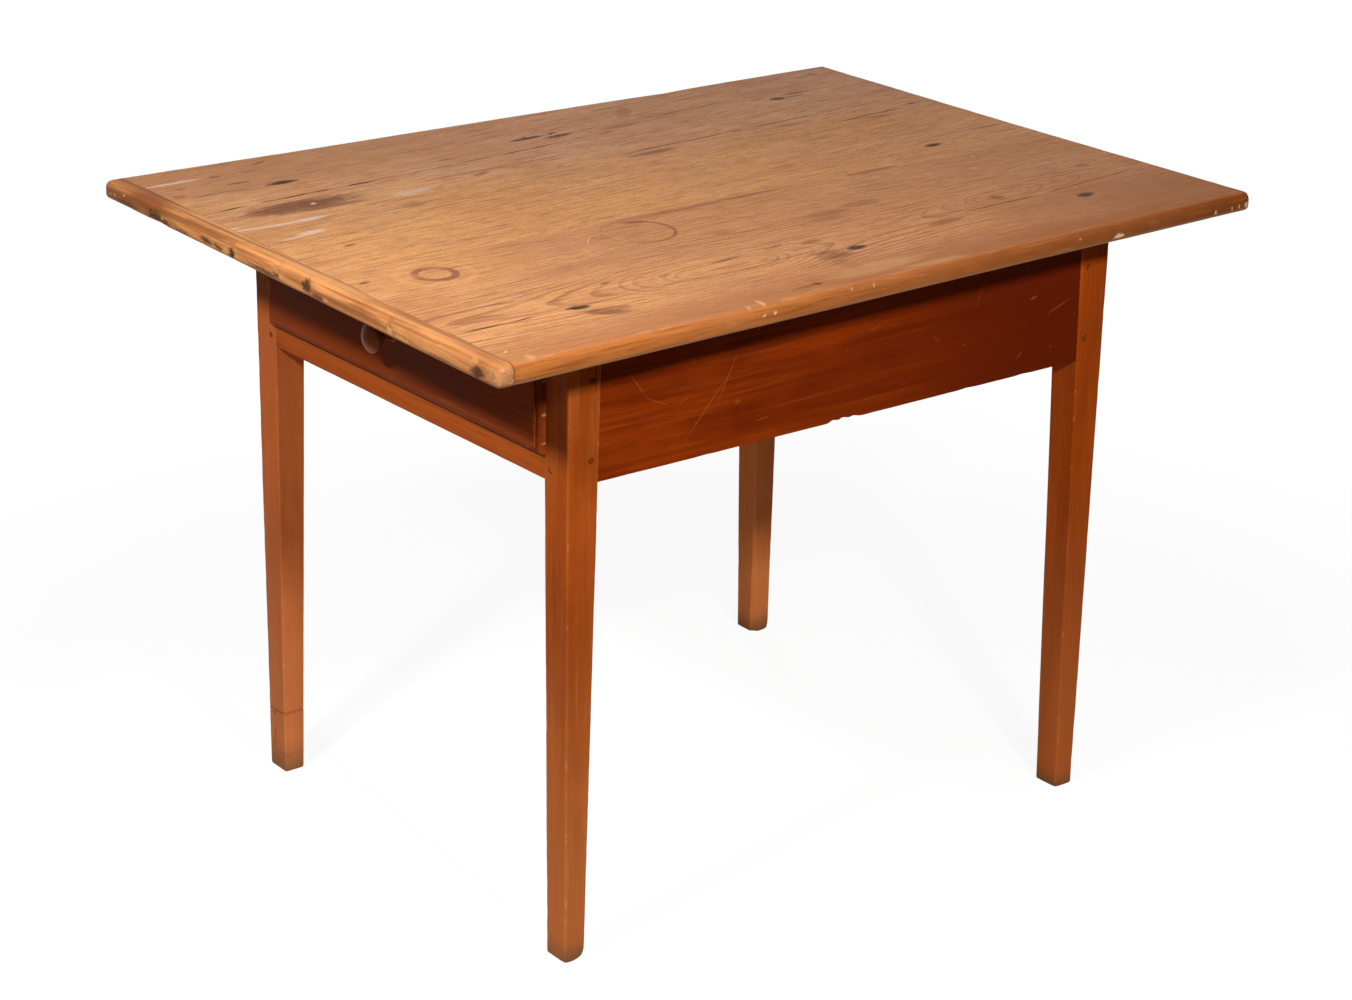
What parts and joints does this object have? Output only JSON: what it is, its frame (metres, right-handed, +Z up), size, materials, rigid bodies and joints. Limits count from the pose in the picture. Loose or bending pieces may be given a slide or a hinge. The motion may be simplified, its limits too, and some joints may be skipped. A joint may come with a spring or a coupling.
{
  "type": "tavern table",
  "caption": "Small wooden tavern table: overhanging board top on tapered square legs and pegged aprons, with a lipped drawer and turned knob in one end.",
  "frame": {"origin": "on the floor under the middle of the top", "axes": "+X along the top away from the drawer end, +Y across the top, +Z up"},
  "size_m": [1.0496, 0.7954, 0.72],
  "materials": {
    "pine_top": "aged pine, worn wax, scratched and stained",
    "stained_wood": "red-brown stain, satin, worn at the edges",
    "bare_wood": "unfinished, aged",
    "nail_iron": "black, rusted"
  },
  "bodies": {
    "table_frame": {"top_board_front": "pine_top", "top_board_back": "pine_top", "top_end_strip": "pine_top", "leg_front_left": "stained_wood", "leg_front_right": "stained_wood", "leg_back_right": "stained_wood", "leg_back_left": "stained_wood", "leg_tip_back_left": "stained_wood", "apron_front": "stained_wood", "apron_back": "stained_wood", "apron_end": "stained_wood", "drawer_rail_lower": "stained_wood", "drawer_rail_upper": "stained_wood", "apron_pegs": "stained_wood", "end_apron_pegs": "stained_wood", "rail_pegs": "stained_wood", "runner_front": "bare_wood", "runner_back": "bare_wood", "kicker_front": "bare_wood", "kicker_back": "bare_wood", "top_nails": "nail_iron", "end_strip_nails": "nail_iron", "runner_nails": "nail_iron"},
    "drawer": {"drawer_front": "stained_wood", "drawer_side_front": "bare_wood", "drawer_side_back": "bare_wood", "drawer_back": "bare_wood", "drawer_bottom": "bare_wood", "drawer_bottom_nails": "nail_iron", "drawer_knob": "stained_wood"}
  },
  "joints": [
    {"name": "drawer_slide", "type": "slide", "parent": "table_frame", "child": "drawer", "axis": [-1, 0, 0], "range_m": [0, 0.38]}
  ]
}
